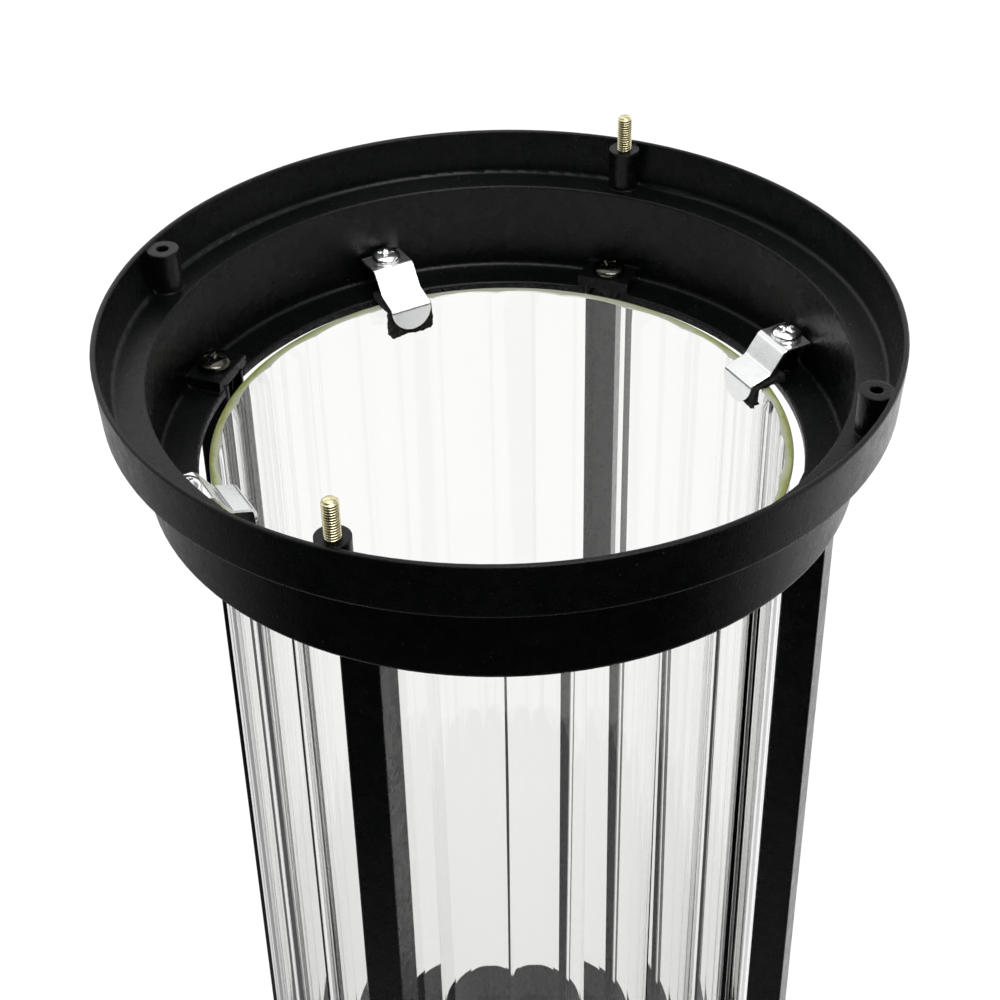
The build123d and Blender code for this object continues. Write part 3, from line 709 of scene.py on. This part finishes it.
def felt_pad(index):
    """Felt strip over the glass edge: ragged at its cut ends, with its own droop and offset."""
    form = FELT[index]
    half, layers = form["wide"], 34
    hang_start, hang_run, least_slide = FELT_FOLD - 3.5, 3.0, 0.6
    corner_steepness, corner_lift = 4.5, 1.3
    cut_edge, edge_fray, face_fray = 0.05, 0.10, 0.05
    jag_step, jag_share, end_fuzz, pile = 0.22, 0.55, 0.12, 0.03
    foot = FELT_FOLD - form["hang"]
    outline = [
        (78.2, FELT_FOLD), (75.5, FELT_FOLD), (FELT_INNER, FELT_FOLD),
        (FELT_INNER - 0.2, foot), (68.25 - form["thick"], foot), (67.9, -42.9), (68.6, -37.35),
        (69.0, FELT_FOLD), (74.6, -35.75), (78.1, FELT_FOLD + 2.2),
    ]
    line = dense([Vector(p) for p in outline + outline[:1]], step=0.4)[:-1]
    rng = np.random.default_rng(FELT_SEED + index)
    jag = np.cumsum(rng.normal(0, jag_step, layers + 1))
    jag -= np.linspace(jag[0], jag[-1], layers + 1)
    loops = []
    for k in range(layers + 1):
        across = -half + 2 * half * k / layers
        edge = 1 - abs(across) / half
        rounded_corner = max(0.0, 1 - edge * corner_steepness) ** 2 * corner_lift
        loop = []
        for p in line:
            low = min(1.0, max(0.0, (hang_start - p.y) / hang_run))
            fray = rng.normal(0, edge_fray if edge < cut_edge else face_fray)
            lift = low * (jag[k] * jag_share + rounded_corner + rng.normal(0, end_fuzz))
            slide = form["slide"] * min(1.0, least_slide + low)
            x = p.x + rng.normal(0, pile)
            loop.append((x, across + slide + fray, p.y + lift + rng.normal(0, pile)))
        loops.append(loop)
    vertices, faces = capped(loops)
    vertices = moved(vertices, clip_matrix(index))
    obj = make_object(f"felt_strip_{index + 1}", vertices, faces, FELT_CLOTH, sharp_deg=80)
    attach(obj, f"turning_clip_{index + 1}")
    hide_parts(f"clip_pad_{index + 1}")


for clip_index in range(CLIPS):
    bent_clip(clip_index)
    felt_pad(clip_index)


# Studio, in metres

def camera():
    """Camera where the photo was taken from, fitted to the rim, the studs, the clips and the posts."""
    away, above_rim = 0.427, 0.2632
    aim, pitch, roll = math.radians(0.09), math.radians(36.92), math.radians(-1.21)
    data = bpy.data.cameras.new("camera")
    data.sensor_width = 36.0
    data.lens = 72.9
    data.clip_start = 0.01
    data.clip_end = 60.0
    obj = placed("camera", data)
    bpy.context.scene.camera = obj
    obj.location = (away * FRONT[0], REACH * MM + away * FRONT[1], RIM_Z * MM + above_rim)
    heading = PHOTO_SIDE + math.pi + aim
    forward = Vector((math.cos(heading) * math.cos(pitch), math.sin(heading) * math.cos(pitch),
                      -math.sin(pitch)))
    level = Vector((math.sin(heading), -math.cos(heading), 0))
    upright = level.cross(forward)
    right = level * math.cos(roll) + upright * math.sin(roll)
    up = upright * math.cos(roll) - level * math.sin(roll)
    obj.rotation_euler = Matrix((right, up, -forward)).transposed().to_euler()


def area_light(name, place, target, size, power):
    """Square lamp that faces a point."""
    data = bpy.data.lights.new(name, "AREA")
    data.shape = "SQUARE"
    data.size = size
    data.energy = power
    obj = placed(name, data)
    obj.location = place
    obj.rotation_euler = (Vector(target) - Vector(place)).to_track_quat("-Z", "Y").to_euler()


def seen_directly(tree, path):
    """1 for rays from the eye, also through glass."""
    return math_node(tree, "MAXIMUM", path.outputs["Is Camera Ray"],
                     path.outputs["Is Transmission Ray"])


def mirrored_only(tree, path):
    """1 for reflected rays: refracted ones count as glossy too, so they are taken out."""
    not_bent = math_node(tree, "SUBTRACT", 1.0, path.outputs["Is Transmission Ray"])
    return math_node(tree, "MULTIPLY", path.outputs["Is Glossy Ray"], not_bent)


def wall_level(tree, direction):
    """Brightness of the studio's walls in reflections: lighter at the right, dark in front."""
    side = remap(tree, dot(tree, direction, RIGHT), (-0.8, 0.4), (0.55, 1.3))
    front = remap(tree, dot(tree, direction, FRONT), (0.25, 0.7), (1, 0.12))
    return math_node(tree, "MULTIPLY", side, front)


def studio_world():
    """White to the eye; reflections meet walls, a darker band, a light ceiling and a softbox."""
    soft_level = 0.45
    world = bpy.data.worlds.new("studio")
    bpy.context.scene.world = world
    world.use_nodes = True
    tree = world.node_tree
    back = tree.nodes["Background"]
    back.inputs["Color"].default_value = (1, 1, 1, 1)
    at = add(tree, "ShaderNodeTexCoord").outputs["Generated"]
    height = remap(tree, dot(tree, at, (0, 0, 1)), (-1, 1), (0, 1))
    bands = ramp(tree, height, [(0.0, (1, 1, 1)), (0.765, (1, 1, 1)), (0.80, (0.22, 0.22, 0.22)),
                                (0.89, (0.25, 0.25, 0.25)), (0.935, (0.9, 0.9, 0.9))])
    walls = math_node(tree, "MULTIPLY", bands, wall_level(tree, at))
    softbox = remap(tree, dot(tree, at, SOFTBOX), (0.93, 0.965), (0, 6))
    mirrored = math_node(tree, "MAXIMUM", walls, softbox)
    path = add(tree, "ShaderNodeLightPath")
    glossy = mirrored_only(tree, path)
    soft = math_node(tree, "MULTIPLY", math_node(tree, "SUBTRACT", 1.0, glossy), soft_level)
    other = math_node(tree, "ADD", math_node(tree, "MULTIPLY", glossy, mirrored), soft)
    strength = math_node(tree, "MAXIMUM", seen_directly(tree, path), other)
    tree.links.new(strength, back.inputs["Strength"])


def floor():
    """Pale floor that keeps the shadow.

    In reflections it is dark close in front of the lantern, fairly bright beneath it, and as bright
    as the walls behind it and further off.
    """
    half_side, gap = 30.0, 0.5 * MM
    to_the_eye, through_glass, darkening = 0.8, 0.72, 0.97
    low = min(corner[2] for corner in cad_box) - gap
    mat, tree, shader = material("pale_floor")
    at = coordinates(tree)
    path = add(tree, "ShaderNodeLightPath")
    glossy = mirrored_only(tree, path)
    pale = tinted(tree, noise(tree, at, 3.0, detail=2.0), (0.33, 0.33, 0.328), (0.35, 0.35, 0.348))
    dimmed = vector_node(tree, "SCALE", pale)
    dimming = math_node(tree, "MULTIPLY", glossy, darkening)
    tree.links.new(math_node(tree, "SUBTRACT", 1.0, dimming), dimmed.inputs["Scale"])
    tree.links.new(dimmed.outputs["Vector"], shader.inputs["Base Color"])
    shader.inputs["Roughness"].default_value = 0.9
    shader.inputs["Specular IOR Level"].default_value = 0.0
    shader.inputs["Emission Color"].default_value = (1, 1, 1, 1)
    from_foot = vector_node(tree, "SUBTRACT", at, (0, REACH * MM, low)).outputs["Vector"]
    direction = vector_node(tree, "NORMALIZE", from_foot).outputs["Vector"]
    distance = length(tree, from_foot)
    behind = remap(tree, dot(tree, direction, FRONT), (0.35, -0.6), (0, 1))
    distant = remap(tree, distance, (1.15, 1.6), (0, 1))
    beneath = remap(tree, distance, (0.25, 0.4), (0.6, 0))
    outside = math_node(tree, "MAXIMUM", behind, distant)
    lit = math_node(tree, "MULTIPLY", outside, wall_level(tree, direction))
    mirrored = math_node(tree, "MULTIPLY", math_node(tree, "MAXIMUM", lit, beneath), glossy)
    seen = math_node(tree, "MULTIPLY", path.outputs["Is Camera Ray"], to_the_eye)
    refracted = math_node(tree, "MULTIPLY", path.outputs["Is Transmission Ray"], through_glass)
    direct = math_node(tree, "MAXIMUM", seen, refracted)
    tree.links.new(math_node(tree, "MAXIMUM", direct, mirrored), shader.inputs["Emission Strength"])
    corners = [(-half_side, -half_side), (half_side, -half_side),
               (half_side, half_side), (-half_side, half_side)]
    mesh = bpy.data.meshes.new("floor")
    mesh.from_pydata([(x, y, low) for x, y in corners], [], [(0, 1, 2, 3)])
    mesh.materials.append(mat)
    placed("floor", mesh)


camera()
studio_world()
floor()
area_light("key", place=(-0.45, 1.45, 2.05), target=(0, 0.16, 0.4), size=2.6, power=16.0)
area_light("over", place=(-0.21, -0.345, 2.0), target=(0, 0.16, 0.45), size=0.8, power=9.0)

bpy.context.scene.view_settings.view_transform = "Standard"
